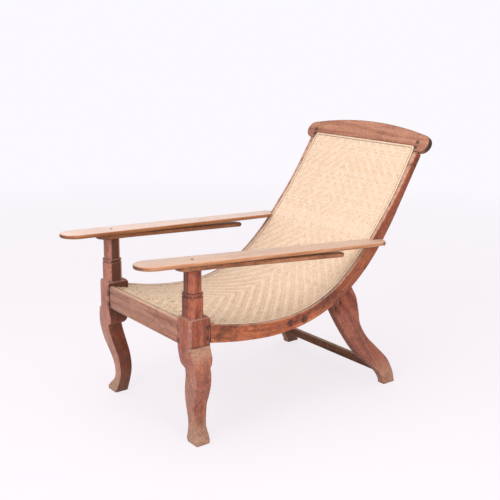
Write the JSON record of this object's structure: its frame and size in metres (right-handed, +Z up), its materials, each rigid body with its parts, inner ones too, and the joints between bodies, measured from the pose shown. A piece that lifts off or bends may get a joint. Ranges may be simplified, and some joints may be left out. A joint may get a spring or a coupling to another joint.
{
  "type": "planters chair",
  "caption": "Low reclining planters armchair in dark hardwood with a woven cane mat, cabriole front legs, sabre rear legs and long flat arms over swing-out leg rests.",
  "frame": {"origin": "on the floor, under the middle of the whole chair with its leg rests folded back", "axes": "+Z up, -Y the way the chair faces, +X to the sitter's left"},
  "size_m": [0.703, 1.2736, 0.9964],
  "materials": {
    "hardwood": "reddish brown hardwood, old wax polish",
    "worn_wood": "the same hardwood, worn pale and dry on top",
    "grey_wood": "unpolished greyish brown hardwood",
    "peg_wood": "dark end grain of pegs and dowels",
    "cane": "split cane, close twill weave",
    "cane_binding": "single cane laid along the edge and laced down",
    "iron": "dull dark iron"
  },
  "bodies": {
    "frame": {"armrest_left": "worn_wood", "armrest_right": "worn_wood", "pivot_pin_left": "iron", "pivot_pin_right": "iron", "front_leg_left": "hardwood", "front_leg_right": "hardwood", "front_rail": "hardwood", "side_rail_left": "hardwood", "side_rail_right": "hardwood", "rear_leg_left": "hardwood", "rear_leg_right": "hardwood", "rear_stretcher": "grey_wood", "seat_rail": "grey_wood", "crest_rail": "hardwood", "woven_mat": "cane", "side_binding_left": "cane_binding", "side_binding_right": "cane_binding", "front_binding": "cane_binding", "top_binding": "cane_binding", "block_peg_1_left": "peg_wood", "block_peg_1_right": "peg_wood", "block_peg_2_left": "peg_wood", "block_peg_2_right": "peg_wood", "seat_rail_dowel_1_left": "peg_wood", "seat_rail_dowel_1_right": "peg_wood", "seat_rail_dowel_2_left": "peg_wood", "seat_rail_dowel_2_right": "peg_wood", "crest_peg_1_left": "peg_wood", "crest_peg_1_right": "peg_wood", "crest_peg_2_left": "peg_wood", "crest_peg_2_right": "peg_wood", "rear_leg_nail_1_left": "iron", "rear_leg_nail_1_right": "iron", "rear_leg_nail_2_left": "iron", "rear_leg_nail_2_right": "iron", "arm_peg_left": "peg_wood", "arm_peg_right": "peg_wood"},
    "leg_rest_left": {"leg_rest_left": "worn_wood"},
    "leg_rest_right": {"leg_rest_right": "worn_wood"}
  },
  "joints": [
    {"name": "leg_rest_left_swing", "type": "hinge", "parent": "frame", "child": "leg_rest_left", "pos_m": [0.2633, -0.43198, 0.636], "axis": [-0.003, -0.047, -0.9989], "range_deg": [0, 180]},
    {"name": "leg_rest_right_swing", "type": "hinge", "parent": "frame", "child": "leg_rest_right", "pos_m": [-0.2633, -0.43198, 0.636], "axis": [-0.003, 0.047, 0.9989], "range_deg": [0, 180]}
  ]
}
